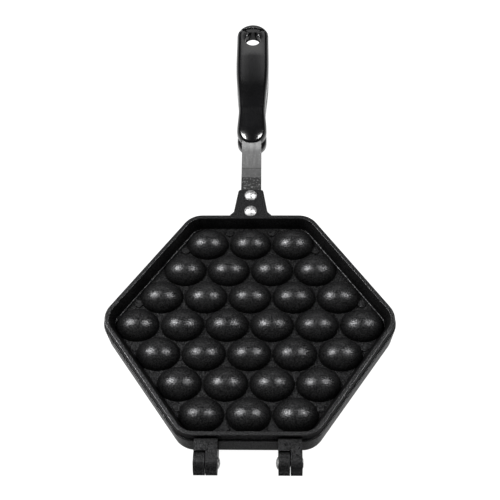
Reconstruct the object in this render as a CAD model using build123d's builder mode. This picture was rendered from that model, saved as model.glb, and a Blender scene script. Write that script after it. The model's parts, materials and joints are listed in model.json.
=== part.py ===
from build123d import *
import math
import os

# Hexagonal egg-waffle pan: two hinged cast plates with elliptical cells, each riveted to a steel strap
# that ends in a moulded grip. Z is up, the grips point to +Y and the hinges to -Y.
# Places are given from the middle of the pan, on the plane where the two plates meet.
# "Reach" is a distance outwards from the flat of the rim.

os.makedirs("parts", exist_ok=True)

# Cells, in rows of 3, 4, 5, 6, 5, 4 and 3
cell_pitch = 34.1  # between centres along a row
row_pitch = 23.85
edge_cells = 3
middle_cells = 6
cell_half_length = 14.5  # mouth of a cell, along the row
cell_half_width = 11.55  # mouth of a cell, across the row
cell_depth = 12.0
dome_wall = 2.6  # metal round each cell
cells_towards_hinges = 1.2  # the cells stand a little off the middle of the rim

# Plates
half_thickness = 15.0  # meeting plane to the top of the rim
web_thickness = 3.7
half_gap = 0.15  # each web to the meeting plane
rim_land = 3.2
recess_draft = 3.2  # the recess is this much smaller at its foot
foot_round = 1.2
flat_margin = 20.25  # outer rows of cells to the rim, before the cells' step towards the hinges
slant_margin = 22.55  # outer cells to the rim, on the four slanted sides
corner_radius = 17.0
rim_round = 0.9
inner_rim_round = 0.5
upper_wall_draft = 0.5
lower_wall_draft = 0.9
boss_radius = 3.0
boss_height = 1.0
boss_reach = 11.0  # line of the outer cells to the bosses

# Lip of the lower plate, which nests round the upper plate
lip_height = 7.4
lip_thickness = 2.5
lip_proud = 1.0  # outside of the lip to the upper plate's wall
lip_round = 0.6
lip_side_gap = 0.8
lip_top_gap = 0.6

# Hinges
hinge_centre = 29.65  # from the pan's middle line
knuckle_width = 8.05
knuckle_gap = 0.6
knuckle_radius = 8.5
knuckle_sweep_gap = 0.6
pin_radius = 2.5
pin_running_gap = 0.06
pin_reach = 15.9
pin_height = 3.5  # above the meeting plane
pin_head_radius = 4.3
pin_head_height = 1.8
pin_tail_radius = 3.4
pin_tail_height = 0.8
pin_side_gap = 0.2
lug_root = 0.9  # depth of each lug in the plate's wall
lug_reach = 9.2
lug_top = 10.8
lug_foot = -12.0
lug_round = 2.2
lower_lug_top = 1.0
arm_lip_gap = 1.0

# Handle tabs and their rivets
tab_reach = 24.6
tab_end_width = 19.8
tab_base_width = 27.0
tab_flare = 3.0
tab_thickness = 4.0
tab_corner = 2.5
lower_tab_inset = 2.8  # the lower tab stands back, so that its rivet heads stay inside the rim
rivet_radius = 2.4
rivet_hole_gap = 0.1
rivet_head_radius = 5.0
rivet_head_height = 2.6
rivet_tail_radius = 3.9
rivet_tail_height = 1.5
rivet_edge = 0.4
rivet_spacing = 15.2
rivet_inset = 5.7  # outer rivet to the end of the tab

# Steel straps
strap_width = 16.4
strap_thickness = 2.0
strap_reach = -0.9  # starts in a pocket in the plate's wall
pocket_gap = 0.3
joggle_reach = 25.8
joggle_length = 16.7
joggle_drop = 2.5
crease_reach = 51.2
crease_drop = 0.3
crease_rise = 0.7  # from the crease to the grip
joggle_radius = 14.0
crease_radius = 20.0
tang_length = 80.0  # of strap inside the grip

# Grips, from the nose
grip_reach = 76.9
grip_length = 134.5
lower_grip_short = 5.0  # the lower grip ends sooner
grip_nose_half_width = 12.7
grip_waist_half_width = 11.65
grip_waist_at = 32.0
grip_swell_half_width = 13.75
grip_swell_at = 66.0
grip_end_radius = 14.35
grip_top = 15.0  # above the meeting plane
grip_nose_top = 9.2
grip_neck_top = 12.8
neck_start_at = 9.5
neck_end_at = 37.5
palm_start_at = 53.2
grip_foot = 3.0
grip_nose_foot = 3.6
grip_nose_foot_at = 14.0
foot_end_at = 60.0
grip_end_foot = 7.0
neck_start_radius = 45.0
neck_end_radius = 6.0
palm_start_radius = 200.0
foot_radius = 60.0
grip_top_round = 3.6
grip_foot_round = 2.3
slot_gap = 0.1
hole_radius = 7.0
hole_to_end = 19.85  # from the upper grip's end; both holes are in line
hole_round = 0.8

# End caps
cap_side_to_end = 12.85  # ends of the arched joint
cap_middle_to_end = 6.35
cap_joint_gap = 0.3
tongue_length = 4.0
tongue_inside = 8.8
tongue_outside = 11.6
tongue_foot = 9.0
tongue_top = 12.0

# Grip screws
screw_at = 52.0
screw_radius = 2.0
screw_head_radius = 3.9
screw_head_height = 2.0
screw_head_sunk = 0.8
screw_recess_gap = 0.2

# Worked out from the sizes above
slant_angle = math.atan2(row_pitch, cell_pitch / 2)
rows_each_side = middle_cells - edge_cells
outer_row = rows_each_side * row_pitch
outer_cell = (edge_cells - 1) / 2 * cell_pitch
slant_cells = outer_cell * math.sin(slant_angle) + outer_row * math.cos(slant_angle)
rim_flat = outer_row + flat_margin
rim_slant = slant_cells + slant_margin
recess_foot = -rim_land - recess_draft
lip_outside = upper_wall_draft + lip_proud
lip_inside = lip_outside - lip_thickness
nest_outside = lip_inside - lip_side_gap
shoulder = lip_height + lip_top_gap
pin_y = -rim_flat - pin_reach
hinge_half = knuckle_width + knuckle_gap / 2
tab_end = rim_flat + tab_reach
tab_under = half_thickness - tab_thickness
strap_under = tab_under - strap_thickness
strap_level = tab_under - strap_thickness / 2
grip_level = strap_level - joggle_drop - crease_drop + crease_rise
nose = rim_flat + grip_reach
grip_end = nose + grip_length
lower_grip_end = grip_end - lower_grip_short
hole_centre = grip_end - hole_to_end
tang_end = nose + tang_length
pan_y = -(grip_end + pin_y - knuckle_radius) / 2  # the origin lies under the middle of the whole
meeting_z = half_thickness


def level(height):
    """A level plane at a height above the plane where the plates meet."""
    return Plane(origin=(0, pan_y, meeting_z + height))


def side(x):
    """An upright plane along the pan, whose own X is the pan's Y and whose own Y is up."""
    return Plane(origin=(x, pan_y, meeting_z), x_dir=(0, 1, 0), z_dir=(1, 0, 0))


def cell_centres():
    """Centres of the cells, row by row."""
    places = []
    for row in range(-rows_each_side, rows_each_side + 1):
        count = middle_cells - abs(row)
        for column in range(count):
            x = (column - (count - 1) / 2) * cell_pitch
            places.append((x, row * row_pitch - cells_towards_hinges))
    return places


def boss_centres():
    """Ejector bosses in the gaps between the outer cells and the rim."""
    places = [(x * cell_pitch / 2, y * (outer_row + boss_reach)) for x in (-1, 1) for y in (-1, 1)]
    for step in (0.5, rows_each_side - 0.5):
        x = outer_cell + step * cell_pitch / 2 + boss_reach * math.sin(slant_angle)
        y = outer_row - step * row_pitch + boss_reach * math.cos(slant_angle)
        places += [(x, y), (-x, y), (x, -y), (-x, -y)]
    return [(x, y - cells_towards_hinges) for x, y in places]


def rim_outline(height, grow):
    """The rounded hexagon of the rim at one height, grown outwards."""
    flat = rim_flat + grow
    slant = rim_slant + grow
    end_x = (slant - flat * math.cos(slant_angle)) / math.sin(slant_angle)
    side_x = slant / math.sin(slant_angle)
    corners = [(end_x, flat), (-end_x, flat), (-side_x, 0), (-end_x, -flat), (end_x, -flat), (side_x, 0)]
    with BuildSketch(level(height)) as outline:
        Polygon(*corners, align=None)
        fillet(outline.vertices(), corner_radius + grow)
    return outline.sketch


def drafted_block(low, low_grow, high, high_grow, mode=Mode.ADD):
    """A hexagonal block between two heights, whose outline grows from one to the other."""
    loft([rim_outline(low, low_grow), rim_outline(high, high_grow)], ruled=True, mode=mode)


def half_ellipsoid(half_length, half_width, height):
    """The upper part of an ellipsoid centred on the meeting plane."""
    with BuildPart(mode=Mode.PRIVATE) as egg:
        Sphere(height)
        scale(by=(half_length / height, half_width / height, 1), mode=Mode.REPLACE)
        split(bisect_by=Plane.XY.offset(half_gap), keep=Keep.TOP)
    return egg.part


def edges_at(part, height):
    """Level edges at a height above the meeting plane."""
    world = meeting_z + height
    return part.edges().filter_by_position(Axis.Z, world - 0.01, world + 0.01)


def recess_and_cells(plate):
    """Sinks the recess into the plate, raises a dome over each cell and hollows it."""
    drafted_block(web_thickness, recess_foot, half_thickness, -rim_land, mode=Mode.SUBTRACT)
    fillet(edges_at(plate, web_thickness), foot_round)
    inner_rim = edges_at(plate, half_thickness).filter_by(lambda edge: edge.center().Y < pan_y + rim_flat - 1)
    fillet(inner_rim.sort_by_distance(level(half_thickness).origin)[:12], inner_rim_round)
    with Locations(*[(x, y, web_thickness) for x, y in boss_centres()]):
        Cylinder(boss_radius, boss_height, align=(Align.CENTER, Align.CENTER, Align.MIN))
    dome = half_ellipsoid(cell_half_length + dome_wall, cell_half_width + dome_wall, cell_depth + dome_wall)
    cell = half_ellipsoid(cell_half_length, cell_half_width, cell_depth)
    with Locations(*cell_centres()):
        add(dome)
    with Locations(*cell_centres()):
        add(cell, mode=Mode.SUBTRACT)


def rivet_places():
    """The outer and the inner rivet of a tab."""
    outer = tab_end - rivet_inset
    return [outer, outer - rivet_spacing]


def handle_tab(inset):
    """The tab that carries the strap, an inset below the rim, and the pocket for the strap's end."""
    half_base = tab_base_width / 2
    flare_end = rim_flat + tab_flare
    corners = [(half_base + tab_flare, rim_flat - rim_land / 2), (half_base + tab_flare, rim_flat)]
    corners += [(half_base, flare_end), (tab_end_width / 2, tab_end)]
    with BuildSketch(level(tab_under - inset)) as tab:
        Polygon(*corners, *[(-x, y) for x, y in reversed(corners)], align=None)
        fillet(tab.vertices().group_by(Axis.Y)[-1], tab_corner)
        fillet(tab.vertices().filter_by_position(Axis.Y, flare_end - 0.1, flare_end + 0.1), tab_flare)
        with Locations(*[(0, y) for y in rivet_places()]):
            Circle(rivet_radius + rivet_hole_gap, mode=Mode.SUBTRACT)
    extrude(tab.sketch, amount=tab_thickness)
    pocket_foot = strap_under - inset - rivet_tail_height - pocket_gap
    pocket_start = rim_flat + strap_reach - pocket_gap
    with BuildSketch(level(pocket_foot)) as pocket:
        with Locations((0, pocket_start)):
            Rectangle(strap_width + 2 * pocket_gap, tab_flare, align=(Align.CENTER, Align.MIN))
    extrude(pocket.sketch, amount=tab_under - inset - pocket_foot, mode=Mode.SUBTRACT)
    if inset:
        with BuildSketch(level(half_thickness - inset)) as clearance:
            with Locations((0, rivet_places()[1])):
                Circle(rivet_head_radius + pocket_gap)
        extrude(clearance.sketch, amount=inset, mode=Mode.SUBTRACT)


def hinge_lug(centre, own_side, root_points, arm_points):
    """A full-width lug with one knuckle on its own side (-1 left, 1 right), clear of the other knuckle."""
    left = centre - hinge_half
    with BuildSketch(side(left)) as root:
        Polygon(*root_points, align=None)
        fillet(root.vertices().group_by(Axis.Y)[0], lug_round)
    extrude(root.sketch, amount=2 * hinge_half)
    clear_width = knuckle_width + knuckle_gap
    clear_left = left if own_side > 0 else centre + hinge_half - clear_width
    with BuildSketch(side(clear_left)) as clear:
        with Locations((pin_y, pin_height)):
            Circle(knuckle_radius + knuckle_sweep_gap)
    extrude(clear.sketch, amount=clear_width, mode=Mode.SUBTRACT)
    own_left = left + clear_width if own_side > 0 else left
    with BuildSketch(side(own_left)) as knuckle:
        Polygon(*arm_points, align=None)
        with Locations((pin_y, pin_height)):
            Circle(knuckle_radius)
            Circle(pin_radius + (pin_running_gap if own_side > 0 else 0), mode=Mode.SUBTRACT)
    extrude(knuckle.sketch, amount=knuckle_width)


def headed_pin(plane, shank_radius, low, high, head, tail=None):
    """A pin along a plane's own Y: a domed head above one seat, and a domed tail or a flat end below."""
    head_radius, head_height = head
    tail_radius, tail_height = tail or (shank_radius, 0)
    with BuildSketch(plane) as profile:
        with BuildLine():
            Line((0, low - tail_height), (0, high + head_height))
            TangentArc((0, high + head_height), (head_radius, high + rivet_edge), tangent=(1, 0))
            Polyline((head_radius, high + rivet_edge), (head_radius, high), (shank_radius, high),
                     (shank_radius, low))
            if tail:
                Polyline((shank_radius, low), (tail_radius, low), (tail_radius, low - rivet_edge))
                TangentArc((0, low - tail_height), (tail_radius, low - rivet_edge), tangent=(1, 0))
            else:
                Line((shank_radius, low), (0, low))
        make_face()
    revolve(profile.sketch, axis=Axis(plane.origin, plane.y_dir))


def strap(inset):
    """The strap, with a joggle past the tab and a slight crease before it rises into the grip."""
    joggle = rim_flat + joggle_reach
    crease = rim_flat + crease_reach
    joggle_end = strap_level - joggle_drop
    with BuildSketch(side(-strap_width / 2)) as profile:
        with BuildLine() as middle:
            FilletPolyline((rim_flat + strap_reach, strap_level - inset), (joggle, strap_level - inset),
                           (joggle + joggle_length, joggle_end), (crease, joggle_end - crease_drop),
                           (nose - slot_gap, grip_level), (tang_end, grip_level),
                           radius=[joggle_radius, joggle_radius, crease_radius, crease_radius])
        trace(line_width=strap_thickness)
    extrude(profile.sketch, amount=strap_width)
    with BuildSketch(level(0)) as holes:
        with Locations(*[(0, y) for y in rivet_places()]):
            Circle(rivet_radius + rivet_hole_gap)
        with Locations((0, nose + screw_at)):
            Circle(screw_radius)
    extrude(holes.sketch, amount=half_thickness, mode=Mode.SUBTRACT)


def grip_outline(end):
    """The grip from above: round nose, waist, and a half-round end."""
    nose_centre = nose + grip_nose_half_width
    end_centre = end - grip_end_radius
    with BuildSketch(level(0)) as outline:
        with BuildLine() as right:
            Spline((grip_nose_half_width, nose_centre), (grip_waist_half_width, nose + grip_waist_at),
                   (grip_swell_half_width, nose + grip_swell_at), (grip_end_radius, end_centre),
                   tangents=[(0, 1), (0, 1)])
            mirror(about=Plane.YZ)
            ThreePointArc((grip_nose_half_width, nose_centre), (0, nose), (-grip_nose_half_width, nose_centre))
            ThreePointArc((grip_end_radius, end_centre), (0, end), (-grip_end_radius, end_centre))
        make_face()
    return outline.sketch


def grip_profile(end):
    """The grip from the side: rounded nose, level neck, rise to a level palm, and a foot that rises to the end."""
    tip = nose - 1
    past = end + 1
    with BuildSketch(side(0)) as profile:
        with BuildLine():
            FilletPolyline((tip, grip_nose_top), (nose + neck_start_at, grip_neck_top),
                           (nose + neck_end_at, grip_neck_top), (nose + palm_start_at, grip_top),
                           (past, grip_top), radius=[neck_start_radius, neck_end_radius, palm_start_radius])
            Line((past, grip_top), (past, grip_end_foot))
            FilletPolyline((past, grip_end_foot), (nose + foot_end_at, grip_foot),
                           (nose + grip_nose_foot_at, grip_foot), (tip, grip_nose_foot),
                           radius=[foot_radius, foot_radius])
            Line((tip, grip_nose_foot), (tip, grip_nose_top))
        make_face()
    return profile.sketch


def grip_blank(end):
    """The whole grip without its slot and joint."""
    with BuildPart(mode=Mode.PRIVATE) as blank:
        extrude(grip_outline(end), amount=2 * half_thickness)
        extrude(grip_profile(end), amount=2 * grip_end_radius, both=True, mode=Mode.INTERSECT)
        walls = blank.faces().filter_by(lambda face: abs(face.normal_at().Z) < 0.01)
        rims = walls.edges().filter_by(Axis.Z, reverse=True)
        middle = meeting_z + (grip_top + grip_foot) / 2
        fillet(rims.filter_by(lambda edge: edge.center().Z > middle), grip_top_round)
        walls = blank.faces().filter_by(lambda face: abs(face.normal_at().Z) < 0.01)
        rims = walls.edges().filter_by(Axis.Z, reverse=True)
        fillet(rims.filter_by(lambda edge: edge.center().Z < middle), grip_foot_round)
        with BuildSketch(level(0)) as hole:
            with Locations((0, hole_centre)):
                Circle(hole_radius)
        extrude(hole.sketch, amount=2 * half_thickness, mode=Mode.SUBTRACT)
        bore = blank.faces().filter_by(lambda face: abs(face.center().Y - pan_y - hole_centre) < 0.5)
        bore = bore.filter_by(lambda face: face.geom_type == GeomType.CYLINDER and face.radius < hole_radius + 0.1)
        fillet(bore.edges().filter_by(Axis.Z, reverse=True), hole_round)
    return blank.part


def joint_region(end, start, reach, low, high, outer, inner=0):
    """A block along the arched joint of the end cap, from a start past the joint over a reach.

    It lies within a distance from the middle line, and outside an inner distance if there is one.
    """
    arch_side = end - cap_side_to_end + start
    arch_middle = end - cap_middle_to_end + start
    arch_end = grip_end_radius + 1
    with BuildSketch(level(low)) as region:
        with BuildLine():
            ThreePointArc((-arch_end, arch_side), (0, arch_middle), (arch_end, arch_side))
            Line((arch_end, arch_side), (arch_end, arch_side + reach))
            ThreePointArc((arch_end, arch_side + reach), (0, arch_middle + reach), (-arch_end, arch_side + reach))
            Line((-arch_end, arch_side + reach), (-arch_end, arch_side))
        make_face()
        with Locations((0, nose)):
            Rectangle(2 * outer, 2 * grip_length, mode=Mode.INTERSECT)
            if inner:
                Rectangle(2 * inner, 2 * grip_length, mode=Mode.SUBTRACT)
    with BuildPart(mode=Mode.PRIVATE) as block:
        extrude(region.sketch, amount=high - low)
    return block.part


def strap_slot():
    """The slot for the strap's tang, and the recessed hole for the grip's screw."""
    half = strap_thickness / 2 + slot_gap
    with BuildSketch(level(grip_level - half)) as slot:
        with Locations((0, nose - 1)):
            Rectangle(strap_width + 2 * slot_gap, tang_length + 1 + slot_gap, align=(Align.CENTER, Align.MIN))
    extrude(slot.sketch, amount=2 * half, mode=Mode.SUBTRACT)
    with BuildSketch(level(0)) as shank:
        with Locations((0, nose + screw_at)):
            Circle(screw_radius)
    extrude(shank.sketch, amount=grip_level, mode=Mode.SUBTRACT)
    with BuildSketch(level(0)) as recess:
        with Locations((0, nose + screw_at)):
            Circle(screw_head_radius + screw_recess_gap)
    extrude(recess.sketch, amount=screw_seat, mode=Mode.SUBTRACT)


def turn_over(half):
    """The lower half is the upper half's mirror image in the meeting plane."""
    if half == "lower":
        mirror(about=level(0), mode=Mode.REPLACE)


def write(piece, name):
    """Labels a finished piece and writes it."""
    piece.part.label = name
    export_step(piece.part, f"parts/{name}.step")


with BuildPart(level(0)) as upper_plate:
    drafted_block(half_gap, nest_outside, shoulder, nest_outside)
    drafted_block(shoulder, upper_wall_draft, half_thickness, 0)
    fillet(edges_at(upper_plate, half_thickness), rim_round)
    recess_and_cells(upper_plate)
    handle_tab(0)
    wall = -rim_flat + lug_root
    lug_end = -rim_flat - lug_reach
    root_points = [(wall, shoulder), (wall, lug_top), (lug_end, lug_top), (lug_end, shoulder)]
    arm_points = [(wall, shoulder), (wall, lug_top), (pin_y, pin_height + knuckle_radius), (pin_y, pin_height)]
    arm_points.append((-rim_flat - lip_outside - arm_lip_gap, shoulder))
    for centre in (-hinge_centre, hinge_centre):
        hinge_lug(centre, 1, root_points, arm_points)
write(upper_plate, "upper_plate")

with BuildPart(level(0)) as lower_plate:
    lower_rim = lip_outside - lower_wall_draft
    drafted_block(-lip_height, lip_outside, half_thickness, lower_rim)
    fillet(edges_at(lower_plate, half_thickness), rim_round)
    fillet(edges_at(lower_plate, -lip_height), lip_round)
    drafted_block(-lip_height, lip_inside, half_gap, lip_inside, mode=Mode.SUBTRACT)
    recess_and_cells(lower_plate)
    handle_tab(lower_tab_inset)
    mirror(about=level(0), mode=Mode.REPLACE)
    root_points = [(wall, lug_foot), (wall, lower_lug_top), (lug_end, lower_lug_top), (lug_end, lug_foot)]
    arm_points = [(wall, lug_foot), (wall, pin_height), (pin_y, pin_height), (pin_y, pin_height - knuckle_radius)]
    for centre in (-hinge_centre, hinge_centre):
        hinge_lug(centre, -1, root_points, arm_points)
write(lower_plate, "lower_plate")

for hand, centre in (("left", -hinge_centre), ("right", hinge_centre)):
    towards_middle = 1 if hand == "left" else -1
    head_gap = pin_side_gap if hand == "left" else 0
    tail_gap = pin_side_gap - head_gap
    axis_plane = Plane(origin=(centre, pan_y + pin_y, meeting_z + pin_height), x_dir=(0, 0, 1),
                       z_dir=(0, towards_middle, 0))
    with BuildPart() as hinge_pin:
        headed_pin(axis_plane, pin_radius, -hinge_half - tail_gap, hinge_half + head_gap,
                   (pin_head_radius, pin_head_height), (pin_tail_radius, pin_tail_height))
    write(hinge_pin, f"{hand}_hinge_pin")

screw_seat = grip_foot + screw_head_sunk + screw_head_height
screw_plane = Plane(origin=(0, pan_y + nose + screw_at, meeting_z), x_dir=(1, 0, 0), z_dir=(0, 1, 0))

halves = (("upper", 0, grip_end), ("lower", lower_tab_inset, lower_grip_end))
for half, inset, end in halves:
    with BuildPart() as handle_strap:
        strap(inset)
        turn_over(half)
    write(handle_strap, f"{half}_strap")

    for place, reach in zip(("outer", "inner"), rivet_places()):
        rivet_plane = Plane(origin=(0, pan_y + reach, meeting_z), x_dir=(1, 0, 0), z_dir=(0, -1, 0))
        with BuildPart() as rivet:
            headed_pin(rivet_plane, rivet_radius, strap_under - inset, half_thickness - inset,
                       (rivet_head_radius, rivet_head_height), (rivet_tail_radius, rivet_tail_height))
            turn_over(half)
        write(rivet, f"{half}_{place}_rivet")

    whole_grip = grip_blank(end)
    with BuildPart() as grip:
        add(whole_grip)
        add(joint_region(end, 0, grip_length, 0, 2 * half_thickness, 2 * grip_end_radius), mode=Mode.SUBTRACT)
        add(joint_region(end, -tongue_length, grip_length, tongue_foot, tongue_top, tongue_outside, tongue_inside),
            mode=Mode.SUBTRACT)
        strap_slot()
        turn_over(half)
    write(grip, f"{half}_grip")

    with BuildPart() as end_cap:
        add(whole_grip)
        add(joint_region(end, cap_joint_gap, grip_length, 0, 2 * half_thickness, 2 * grip_end_radius),
            mode=Mode.INTERSECT)
        add(joint_region(end, -tongue_length, tongue_length + 1, tongue_foot, tongue_top, tongue_outside,
                         tongue_inside))
        turn_over(half)
    write(end_cap, f"{half}_end_cap")

    with BuildPart() as grip_screw:
        headed_pin(screw_plane, screw_radius, -grip_level - strap_thickness / 2, -screw_seat,
                   (screw_head_radius, screw_head_height))
        turn_over(half)
    write(grip_screw, f"{half}_grip_screw")
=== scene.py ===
import json
import math

import bpy
from mathutils import Matrix, Vector


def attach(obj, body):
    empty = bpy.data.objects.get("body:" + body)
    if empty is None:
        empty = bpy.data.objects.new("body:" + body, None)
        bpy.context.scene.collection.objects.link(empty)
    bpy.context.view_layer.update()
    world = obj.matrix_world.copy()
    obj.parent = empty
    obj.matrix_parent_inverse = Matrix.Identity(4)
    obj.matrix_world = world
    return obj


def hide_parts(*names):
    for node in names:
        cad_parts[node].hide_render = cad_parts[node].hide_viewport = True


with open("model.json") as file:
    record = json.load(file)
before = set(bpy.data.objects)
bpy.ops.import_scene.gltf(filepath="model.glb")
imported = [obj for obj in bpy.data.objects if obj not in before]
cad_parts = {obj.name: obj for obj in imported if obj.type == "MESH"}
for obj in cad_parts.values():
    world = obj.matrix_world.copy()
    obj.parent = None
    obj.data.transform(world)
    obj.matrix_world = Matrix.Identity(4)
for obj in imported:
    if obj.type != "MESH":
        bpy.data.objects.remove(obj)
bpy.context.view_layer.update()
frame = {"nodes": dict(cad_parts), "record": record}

# ---- places on the pan, in metres ----
PAN_Y = -0.0935  # middle of the plates
RIM_TOP = 0.030
MEETING = 0.015  # the plane where the plates meet
JOGGLE_START = PAN_Y + 0.1176
GRIP_NOSE = PAN_Y + 0.1687
HOLE_CENTRE = PAN_Y + 0.28335
JOINT_CENTRE = PAN_Y + 0.27548  # of the upper end cap's arched joint
JOINT_RADIUS = 0.02137
LOWER_SHORT = 0.005  # the lower grip ends sooner

# ---- camera ----
CAMERA_TARGET = Vector((-0.00012, PAN_Y + 0.05905, RIM_TOP))
CAMERA_DISTANCE = 0.697
CAMERA_ELEVATION = math.radians(59.1)
CAMERA_AZIMUTH = math.radians(-2.3)
CAMERA_ROLL = math.radians(-1.95)
LENS_MM = 63.99
SENSOR_MM = 36

# ---- the grips' looks ----
NOSE_CROWN = 0.023  # radius of the crown across the grip
PALM_CROWN = 0.055
CROWN_CHANGE = 0.03  # from the nose to where the crown is the palm's
GROOVE_HALF_WIDTH = 0.0004
GROOVE_EDGE = 0.0009
GROOVE_DEPTH = 0.0004
RELIEF_LEAN = math.radians(35.5)
RELIEF_FOOT_RADIUS = 0.0068
RELIEF_TOP_RADIUS = 0.0036
RELIEF_LENGTH = 0.012
RELIEF_PLACE = (0, HOLE_CENTRE + 0.0038, 0.0262)
SHARP_ANGLE = math.radians(35)

# ---- studio ----
FLOOR_SIZE = 200
FLOOR_LEVEL = -0.0005
LAMP_HEIGHT = 1.6
LAMP_SIDE_ANGLE = math.radians(34)
LAMP_BACK_ANGLE = math.radians(6)
SIDE_LAMPS = (("left_box", -1, 0.5, 128), ("right_box", 1, 0.42, 72))  # name, side, width, watts
SIDE_LAMP_LENGTH = 0.6
BACK_LAMP_PLACE = (0, 1.9, 1.3)
BACK_LAMP_SIZE = (1.6, 0.7)
BACK_LAMP_WATTS = 9
WORLD_STRENGTH = 0.05


def make_camera():
    """The photograph's view: from the hinge end, high above the pan, with a slight turn and roll."""
    forward = Vector((math.sin(CAMERA_AZIMUTH) * math.cos(CAMERA_ELEVATION),
                      math.cos(CAMERA_AZIMUTH) * math.cos(CAMERA_ELEVATION), -math.sin(CAMERA_ELEVATION)))
    right = Vector((math.cos(CAMERA_AZIMUTH), -math.sin(CAMERA_AZIMUTH), 0))
    up = right.cross(forward)
    c, s = math.cos(CAMERA_ROLL), math.sin(CAMERA_ROLL)
    rolled_right = c * right + s * up
    rolled_up = c * up - s * right
    data = bpy.data.cameras.new("view")
    data.lens = LENS_MM
    data.sensor_width = SENSOR_MM
    camera = bpy.data.objects.new("view", data)
    bpy.context.collection.objects.link(camera)
    place = Matrix((rolled_right, rolled_up, -forward)).transposed().to_4x4()
    place.translation = CAMERA_TARGET - forward * CAMERA_DISTANCE
    camera.matrix_world = place
    bpy.context.scene.camera = camera


class Nodes:
    """A short way to write a material's node tree."""

    def __init__(self, name):
        self.material = bpy.data.materials.new(name)
        self.material.use_nodes = True
        self.tree = self.material.node_tree
        self.shader = self.tree.nodes["Principled BSDF"]
        self.position = self.add("ShaderNodeTexCoord").outputs["Object"]

    def add(self, kind, **settings):
        node = self.tree.nodes.new(kind)
        for key, value in settings.items():
            setattr(node, key, value)
        return node

    def link(self, source, target):
        self.tree.links.new(source, target)

    def noise(self, scale, detail=2.0, roughness=0.5, vector=None):
        node = self.add("ShaderNodeTexNoise")
        self.link(vector or self.position, node.inputs["Vector"])
        node.inputs["Scale"].default_value = scale
        node.inputs["Detail"].default_value = detail
        node.inputs["Roughness"].default_value = roughness
        return node.outputs["Fac"]

    def ramp(self, source, *stops):
        """A colour ramp; each stop is its place and a grey or a colour."""
        node = self.add("ShaderNodeValToRGB")
        elements = node.color_ramp.elements
        while len(elements) < len(stops):
            elements.new(0.5)
        for element, (place, value) in zip(elements, stops):
            element.position = place
            element.color = (value, value, value, 1) if isinstance(value, float) else (*value, 1)
        self.link(source, node.inputs["Fac"])
        return node.outputs["Color"]

    def stretched(self, x, y, z):
        """The position, scaled along each axis."""
        node = self.add("ShaderNodeMapping")
        self.link(self.position, node.inputs["Vector"])
        node.inputs["Scale"].default_value = (x, y, z)
        return node.outputs["Vector"]

    def mix(self, share, first, second):
        node = self.add("ShaderNodeMix", data_type="RGBA")
        self.link(share, node.inputs["Factor"])
        self.link(first, node.inputs["A"])
        self.link(second, node.inputs["B"])
        return node.outputs["Result"]

    def math(self, operation, first, second=None):
        node = self.add("ShaderNodeMath", operation=operation)
        for place, value in enumerate((first, second)):
            if isinstance(value, float):
                node.inputs[place].default_value = value
            elif value is not None:
                self.link(value, node.inputs[place])
        return node.outputs[0]

    def spread(self, source, low, high, first, last):
        """Runs evenly from first to last while the source goes from low to high."""
        node = self.add("ShaderNodeMapRange")
        self.link(source, node.inputs["Value"])
        for name, value in zip(("From Min", "From Max", "To Min", "To Max"), (low, high, first, last)):
            node.inputs[name].default_value = value
        return node.outputs["Result"]

    def times(self, first, second):
        node = self.add("ShaderNodeVectorMath", operation="MULTIPLY")
        self.link(first, node.inputs[0])
        self.link(second, node.inputs[1])
        return node.outputs["Vector"]

    def bump(self, height, strength, distance, below=None):
        """A bumped normal, on top of the one below if there is one."""
        node = self.add("ShaderNodeBump")
        self.link(height, node.inputs["Height"])
        node.inputs["Strength"].default_value = strength
        node.inputs["Distance"].default_value = distance
        if below:
            self.link(below, node.inputs["Normal"])
        return node.outputs["Normal"]

    def split(self):
        """The position's X, Y and Z."""
        node = self.add("ShaderNodeSeparateXYZ")
        self.link(self.position, node.inputs["Vector"])
        return [node.outputs[name] for name in "XYZ"]

    def set(self, **values):
        for key, value in values.items():
            self.shader.inputs[key.replace("_", " ")].default_value = value


def cast_coating():
    """Sandy black non-stick coat, with painted shade in the gaps between the domes and at their feet."""
    m = Nodes("cast_coating")
    grain = m.noise(1300, 2, 0.6)
    m.set(Metallic=0.75, Specular_IOR_Level=0.0, Specular_Tint=(0.45, 0.45, 0.45, 1))
    # Painted shade: ambient occlusion darkens the colour between the domes, at their feet and in the
    # corners of the recess.
    painted_shade_ao = m.add("ShaderNodeAmbientOcclusion", samples=8)
    painted_shade_ao.inputs["Distance"].default_value = 0.012
    sand = m.ramp(grain, (0.4, (0.004, 0.004, 0.0042)), (0.62, (0.028, 0.028, 0.0285)))
    tone = m.times(sand, m.ramp(painted_shade_ao.outputs["AO"], (0.4, 0.35), (0.95, 1.0)))
    m.link(tone, m.shader.inputs["Base Color"])
    m.link(m.ramp(m.noise(1100, 2), (0.3, 0.25), (0.75, 0.36)), m.shader.inputs["Roughness"])
    m.link(m.bump(grain, 0.75, 0.0002), m.shader.inputs["Normal"])
    return m.material


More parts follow.
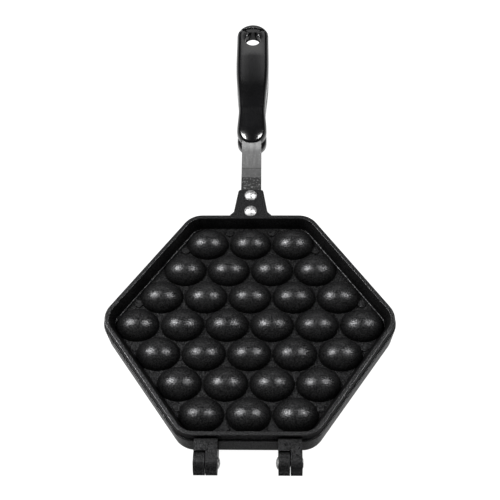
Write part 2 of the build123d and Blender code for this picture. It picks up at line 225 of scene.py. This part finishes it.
def satin_steel():
    """Strap steel: brushed along its length and scuffed in the joggle, with painted shade over the joggle
    and at the crease, and a painted reflection that lightens it towards the grip.
    """
    m = Nodes("satin_steel")
    m.set(Metallic=1.0)
    lines = m.noise(60, 3, 0.6, m.stretched(40, 1, 10))
    along = m.spread(m.split()[1], JOGGLE_START, GRIP_NOSE, 0.0, 1.0)
    # Painted shade and painted reflection along the strap: dark over the joggle's slope and at the
    # crease's bend, lighter towards the grip.
    joggle = (0.0, 0.06), (0.30, 0.06), (0.33, 0.12)
    crease = (0.485, 0.13), (0.497, 0.07), (0.51, 0.165)
    painted_light_zones = m.ramp(along, *joggle, *crease, (0.84, 0.21), (0.95, 0.36))
    spots = m.ramp(m.noise(420, 3, 0.7), (0.55, 0.5), (0.68, 3.0))
    scuffed = m.ramp(along, (0.30, 1.0), (0.33, 0.12))
    speckle = m.mix(scuffed, m.ramp(lines, (0.3, 0.88), (0.7, 1.0)), spots)
    m.link(m.times(painted_light_zones, speckle), m.shader.inputs["Base Color"])
    m.link(m.ramp(lines, (0.2, 0.3), (0.8, 0.42)), m.shader.inputs["Roughness"])
    m.link(m.bump(lines, 0.08, 0.0001), m.shader.inputs["Normal"])
    return m.material


def polished_steel():
    """Tumbled steel of the rivets, pins and screws."""
    m = Nodes("polished_steel")
    m.set(Metallic=1.0)
    tone = m.ramp(m.noise(700, 2), (0.38, 0.13), (0.6, 0.38))
    m.link(tone, m.shader.inputs["Base Color"])
    m.link(m.ramp(m.noise(600, 2), (0.3, 0.42), (0.8, 0.55)), m.shader.inputs["Roughness"])
    return m.material


def moulded_grip():
    """Satin plastic with a crowned top, and a dark groove where the end cap meets the grip."""
    m = Nodes("moulded_grip")
    m.set(Specular_IOR_Level=0.3)
    x, y, z = m.split()
    lower = m.math("LESS_THAN", z, MEETING)
    beyond = m.math("ADD", m.math("ADD", y, m.math("MULTIPLY", lower, LOWER_SHORT)), -JOINT_CENTRE)
    offset = m.add("ShaderNodeCombineXYZ")
    m.link(x, offset.inputs["X"])
    m.link(beyond, offset.inputs["Y"])
    length = m.add("ShaderNodeVectorMath", operation="LENGTH")
    m.link(offset.outputs[0], length.inputs[0])
    away = m.math("ABSOLUTE", m.math("ADD", length.outputs["Value"], -JOINT_RADIUS))
    outside = m.spread(away, GROOVE_HALF_WIDTH, GROOVE_EDGE, 0.0, 1.0)
    plain = m.math("MAXIMUM", outside, m.math("LESS_THAN", beyond, 0.0))
    colour = m.ramp(m.noise(40, 2), (0.3, (0.0008, 0.0008, 0.0009)), (0.7, (0.0016, 0.0016, 0.0018)))
    m.link(m.times(colour, plain), m.shader.inputs["Base Color"])
    m.link(m.math("MULTIPLY", plain, 0.3), m.shader.inputs["Specular IOR Level"])
    m.link(m.ramp(m.noise(500, 3), (0.3, 0.15), (0.8, 0.21)), m.shader.inputs["Roughness"])
    crown = m.spread(y, GRIP_NOSE, GRIP_NOSE + CROWN_CHANGE, -2 * NOSE_CROWN, -2 * PALM_CROWN)
    height = m.math("DIVIDE", m.math("POWER", x, 2.0), crown)
    height = m.math("ADD", height, m.math("MULTIPLY", plain, GROOVE_DEPTH))
    fine = m.bump(m.noise(900, 2), 0.02, 0.0001)
    m.link(m.bump(height, 1.0, 1.0, fine), m.shader.inputs["Normal"])
    return m.material


def pale_floor():
    """White that glows evenly, so that it shows no shadow under the pan."""
    m = Nodes("pale_floor")
    m.set(Base_Color=(0.05, 0.05, 0.05, 1), Roughness=0.9, Specular_IOR_Level=0.0)
    m.set(Emission_Color=(1, 1, 1, 1), Emission_Strength=1.0)
    return m.material


def dress(materials):
    """Every CAD node keeps its shape and takes the material of its slot."""
    slots = {entry["node"]: entry["material_slot"] for entry in frame["record"]["subparts"]}
    for name, node in frame["nodes"].items():
        node.data.materials.clear()
        node.data.materials.append(materials[slots[name]])


def relieve_hang_hole(material):
    """The upper grip with its hang hole sloped away towards the end."""
    node = frame["nodes"]["upper_grip"]
    bpy.ops.mesh.primitive_cone_add(vertices=64, radius1=RELIEF_FOOT_RADIUS, radius2=RELIEF_TOP_RADIUS,
                                    depth=RELIEF_LENGTH, rotation=(-RELIEF_LEAN, 0, 0),
                                    location=RELIEF_PLACE)
    cutter = bpy.context.object
    grip = bpy.data.objects.new("upper_grip_relieved", node.data.copy())
    bpy.context.collection.objects.link(grip)
    cut = grip.modifiers.new("relief", "BOOLEAN")
    cut.operation = "DIFFERENCE"
    cut.solver = "EXACT"
    cut.object = cutter
    evaluated = grip.evaluated_get(bpy.context.evaluated_depsgraph_get())
    shape = bpy.data.meshes.new_from_object(evaluated)
    grip.modifiers.clear()
    grip.data = shape
    bpy.data.objects.remove(cutter)
    shape.materials.clear()
    shape.materials.append(material)
    for face in shape.polygons:
        face.use_smooth = True
        face.material_index = 0
    shape.set_sharp_from_angle(angle=SHARP_ANGLE)
    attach(grip, "upper_half")
    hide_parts("upper_grip")


def make_floor(material):
    """A wide plain floor just under the pan."""
    bpy.ops.mesh.primitive_plane_add(size=FLOOR_SIZE, location=(0, 0, FLOOR_LEVEL))
    floor = bpy.context.object
    floor.name = "floor"
    floor.data.materials.append(material)


def softbox(name, place, width, length, watts):
    """A rectangular lamp that faces the pan."""
    data = bpy.data.lights.new(name, "AREA")
    data.shape = "RECTANGLE"
    data.size = width
    data.size_y = length
    data.energy = watts
    lamp = bpy.data.objects.new(name, data)
    bpy.context.collection.objects.link(lamp)
    lamp.location = place
    lamp.rotation_euler = (-Vector(place)).to_track_quat("-Z", "Y").to_euler()


def make_lights():
    """Two soft boxes high at the sides, a weak one at the back, and a little light all round."""
    for name, side, width, watts in SIDE_LAMPS:
        place = (side * LAMP_HEIGHT * math.tan(LAMP_SIDE_ANGLE), LAMP_HEIGHT * math.tan(LAMP_BACK_ANGLE),
                 LAMP_HEIGHT)
        softbox(name, place, width, SIDE_LAMP_LENGTH, watts)
    softbox("back_box", BACK_LAMP_PLACE, *BACK_LAMP_SIZE, BACK_LAMP_WATTS)
    world = bpy.data.worlds.new("studio")
    world.use_nodes = True
    background = world.node_tree.nodes["Background"]
    background.inputs["Color"].default_value = (1, 1, 1, 1)
    background.inputs["Strength"].default_value = WORLD_STRENGTH
    bpy.context.scene.world = world
    bpy.context.scene.view_settings.view_transform = "Standard"


make_camera()
materials = {"cast_black": cast_coating(), "steel": satin_steel(), "polished": polished_steel(),
             "grip_black": moulded_grip()}
dress(materials)
relieve_hang_hole(materials["grip_black"])
make_floor(pale_floor())
make_lights()
